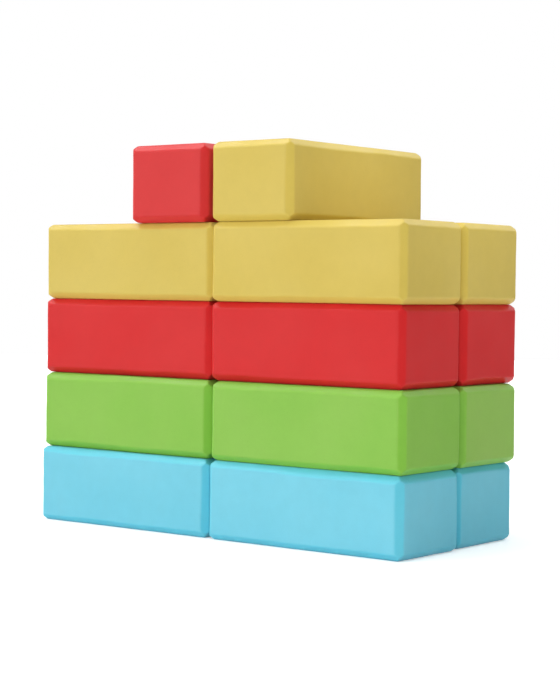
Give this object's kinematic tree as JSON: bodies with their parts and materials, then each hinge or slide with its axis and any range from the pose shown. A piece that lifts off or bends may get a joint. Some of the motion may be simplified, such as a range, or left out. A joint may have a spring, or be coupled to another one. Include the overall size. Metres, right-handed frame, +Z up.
{
  "type": "giant building block stack",
  "caption": "Stack of giant bevelled foam building blocks in coloured layers; every block is loose, so it pulls or lifts out and stacks again.",
  "frame": {"origin": "on the floor, under the seam between the left and right columns, half way along the two top blocks", "axes": "+X right along the front of the wall of blocks, +Y to the back, +Z up"},
  "size_m": [0.6065, 0.3055, 0.5077],
  "materials": {
    "blue_foam": "matte closed-cell foam",
    "green_foam": "matte closed-cell foam",
    "red_foam": "matte closed-cell foam",
    "yellow_foam": "matte closed-cell foam"
  },
  "bodies": {
    "blue_front_left": {"blue_block_front_left": "blue_foam"},
    "blue_front_right": {"blue_block_front_right": "blue_foam"},
    "blue_rear_left": {"blue_block_rear_left": "blue_foam"},
    "blue_rear_right": {"blue_block_rear_right": "blue_foam"},
    "green_front_left": {"green_block_front_left": "green_foam"},
    "green_front_right": {"green_block_front_right": "green_foam"},
    "green_rear_left": {"green_block_rear_left": "green_foam"},
    "green_rear_right": {"green_block_rear_right": "green_foam"},
    "red_front_left": {"red_block_front_left": "red_foam"},
    "red_front_right": {"red_block_front_right": "red_foam"},
    "red_rear_left": {"red_block_rear_left": "red_foam"},
    "red_rear_right": {"red_block_rear_right": "red_foam"},
    "yellow_front_left": {"yellow_block_front_left": "yellow_foam"},
    "yellow_front_right": {"yellow_block_front_right": "yellow_foam"},
    "yellow_rear_left": {"yellow_block_rear_left": "yellow_foam"},
    "yellow_rear_right": {"yellow_block_rear_right": "yellow_foam"},
    "red_top": {"red_block_top": "red_foam"},
    "yellow_top": {"yellow_block_top": "yellow_foam"}
  },
  "joints": [
    {"name": "pull_blue_front_left", "type": "slide", "parent": "blue_rear_left", "child": "blue_front_left", "axis": [0, -1, 0], "range_m": [0, 0.18]},
    {"name": "pull_blue_front_right", "type": "slide", "parent": "blue_rear_left", "child": "blue_front_right", "axis": [0, -1, 0], "range_m": [0, 0.18]},
    {"name": "pull_blue_rear_right", "type": "slide", "parent": "blue_rear_left", "child": "blue_rear_right", "axis": [0, 1, 0], "range_m": [0, 0.18]},
    {"name": "pull_green_front_left", "type": "slide", "parent": "blue_rear_left", "child": "green_front_left", "axis": [0, -1, 0], "range_m": [0, 0.18]},
    {"name": "pull_green_front_right", "type": "slide", "parent": "blue_rear_left", "child": "green_front_right", "axis": [0, -1, 0], "range_m": [0, 0.18]},
    {"name": "pull_green_rear_left", "type": "slide", "parent": "blue_rear_left", "child": "green_rear_left", "axis": [0, 1, 0], "range_m": [0, 0.18]},
    {"name": "pull_green_rear_right", "type": "slide", "parent": "blue_rear_left", "child": "green_rear_right", "axis": [0, 1, 0], "range_m": [0, 0.18]},
    {"name": "pull_red_front_left", "type": "slide", "parent": "blue_rear_left", "child": "red_front_left", "axis": [0, -1, 0], "range_m": [0, 0.18]},
    {"name": "pull_red_front_right", "type": "slide", "parent": "blue_rear_left", "child": "red_front_right", "axis": [0, -1, 0], "range_m": [0, 0.18]},
    {"name": "pull_red_rear_left", "type": "slide", "parent": "blue_rear_left", "child": "red_rear_left", "axis": [0, 1, 0], "range_m": [0, 0.18]},
    {"name": "pull_red_rear_right", "type": "slide", "parent": "blue_rear_left", "child": "red_rear_right", "axis": [0, 1, 0], "range_m": [0, 0.18]},
    {"name": "pull_yellow_front_left", "type": "slide", "parent": "blue_rear_left", "child": "yellow_front_left", "axis": [0, -1, 0], "range_m": [0, 0.18]},
    {"name": "pull_yellow_front_right", "type": "slide", "parent": "blue_rear_left", "child": "yellow_front_right", "axis": [0, -1, 0], "range_m": [0, 0.18]},
    {"name": "pull_yellow_rear_left", "type": "slide", "parent": "blue_rear_left", "child": "yellow_rear_left", "axis": [0, 1, 0], "range_m": [0, 0.18]},
    {"name": "pull_yellow_rear_right", "type": "slide", "parent": "blue_rear_left", "child": "yellow_rear_right", "axis": [0, 1, 0], "range_m": [0, 0.18]},
    {"name": "lift_red_top", "type": "slide", "parent": "blue_rear_left", "child": "red_top", "axis": [0, 0, 1], "range_m": [0, 0.13]},
    {"name": "lift_yellow_top", "type": "slide", "parent": "blue_rear_left", "child": "yellow_top", "axis": [0, 0, 1], "range_m": [0, 0.13]}
  ]
}
